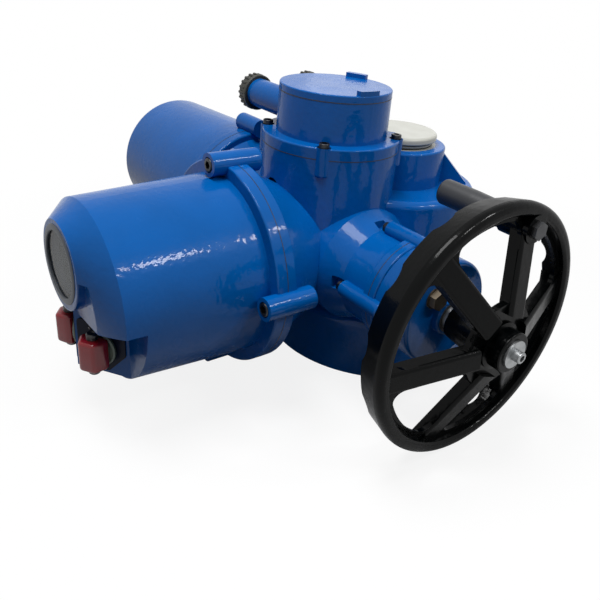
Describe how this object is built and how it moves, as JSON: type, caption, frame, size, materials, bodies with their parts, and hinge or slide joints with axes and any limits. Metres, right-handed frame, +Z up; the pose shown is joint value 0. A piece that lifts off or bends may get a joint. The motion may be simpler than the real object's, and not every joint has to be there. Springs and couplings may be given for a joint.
{
  "type": "electric valve actuator",
  "caption": "Flange-mounted multi-turn electric valve actuator with worm gearing, motor, control housing with window and selectors, terminal box and declutchable handwheel.",
  "frame": {"origin": "on the valve stem's axis, in the face of the thrust base that is bolted to the valve", "axes": "+Z up along the stem, +X along the worm axis towards the handwheel, -Y towards the control housing's window"},
  "size_m": [0.7195, 0.596, 0.352],
  "materials": {
    "blue_enamel": "gloss",
    "cap_plastic": "satin",
    "zinc_steel": "bright zinc",
    "seal_rubber": "matte",
    "bearing_steel": "ground",
    "machined_steel": "turned",
    "bronze": "turned",
    "motor_iron": "varnished",
    "terminal_plastic": "matte",
    "plug_rubber": "satin",
    "window_glass": "clear",
    "plate_enamel": "satin",
    "chassis_aluminium": "satin",
    "board_laminate": "satin",
    "module_plastic": "satin",
    "brass_plug": "dull",
    "black_enamel": "gloss",
    "handle_plastic": "satin",
    "lever_zinc": "satin",
    "knob_plastic": "gloss"
  },
  "bodies": {
    "housing": {"gearcase": "blue_enamel", "thrust_base": "blue_enamel", "thrust_base_screws": "zinc_steel", "stem_cap": "cap_plastic", "stem_cap_seal": "seal_rubber", "column_bearings": "bearing_steel", "bearing_nut": "machined_steel", "output_seal": "seal_rubber", "worm_bearings": "bearing_steel", "torque_springs": "machined_steel", "motor_housing": "blue_enamel", "motor_screws": "zinc_steel", "motor_stator": "motor_iron", "terminal_housing": "blue_enamel", "terminal_housing_screws": "zinc_steel", "terminal_lid": "blue_enamel", "terminal_block": "terminal_plastic", "conduit_plugs": "plug_rubber", "control_cover": "blue_enamel", "control_cover_screws": "zinc_steel", "window_glass": "window_glass", "selector_plates": "plate_enamel", "selector_pins": "machined_steel", "control_chassis": "chassis_aluminium", "control_board": "board_laminate", "power_module": "module_plastic", "display_module": "module_plastic", "hand_drive_cover": "blue_enamel", "hand_drive_screws": "zinc_steel", "filler_plug": "brass_plug", "hand_shaft_bush": "bronze", "hand_shaft_seal": "seal_rubber"},
    "output": {"drive_sleeve": "machined_steel", "worm_wheel": "bronze", "stem_nut": "bronze"},
    "worm": {"worm_shaft": "machined_steel", "motor_rotor": "motor_iron"},
    "handwheel": {"handwheel": "black_enamel", "hand_shaft": "machined_steel", "hub_screw": "zinc_steel", "hub_washer": "zinc_steel", "handle_bolt": "zinc_steel"},
    "crank_handle": {"crank_handle": "handle_plastic"},
    "clutch": {"clutch_ring": "machined_steel"},
    "declutch_lever": {"declutch_lever": "lever_zinc"},
    "mode_knob": {"mode_knob": "knob_plastic"},
    "command_knob": {"command_knob": "knob_plastic"}
  },
  "joints": [
    {"name": "worm_spin", "type": "hinge", "parent": "housing", "child": "worm", "pos_m": [0, -0.113, 0.152], "axis": [1, 0, 0], "continuous": true},
    {"name": "output_spin", "type": "hinge", "parent": "housing", "child": "output", "pos_m": [0, 0, 0], "axis": [0, 0, 1], "continuous": true},
    {"name": "handwheel_spin", "type": "hinge", "parent": "housing", "child": "handwheel", "pos_m": [0, -0.113, 0.152], "axis": [1, 0, 0], "continuous": true},
    {"name": "handle_spin", "type": "hinge", "parent": "handwheel", "child": "crank_handle", "pos_m": [0.194, -0.07298, 0.26194], "axis": [1, 0, 0], "continuous": true},
    {"name": "lever_tilt", "type": "hinge", "parent": "housing", "child": "declutch_lever", "pos_m": [0.22, -0.079, 0.125], "axis": [1, 0, 0], "range_deg": [0, 35]},
    {"name": "clutch_slide", "type": "slide", "parent": "handwheel", "child": "clutch", "axis": [1, 0, 0], "range_m": [-0.0077, 0], "stiffness_N_per_m": 3500, "springref_m": 0.0045},
    {"name": "mode_turn", "type": "hinge", "parent": "housing", "child": "mode_knob", "pos_m": [-0.025, -0.41949, 0.099], "axis": [-0.5736, -0.8192, 0], "range_deg": [-45, 45]},
    {"name": "command_turn", "type": "hinge", "parent": "housing", "child": "command_knob", "pos_m": [0.025, -0.41949, 0.099], "axis": [0.5736, -0.8192, 0], "range_deg": [-30, 30], "stiffness_Nm_per_rad": 0.1}
  ],
  "couplings": [
    {"joint": "output_spin", "follows": "worm_spin", "ratio": -0.022727},
    {"joint": "lever_tilt", "follows": "clutch_slide", "rad_per_m": -76.923}
  ]
}
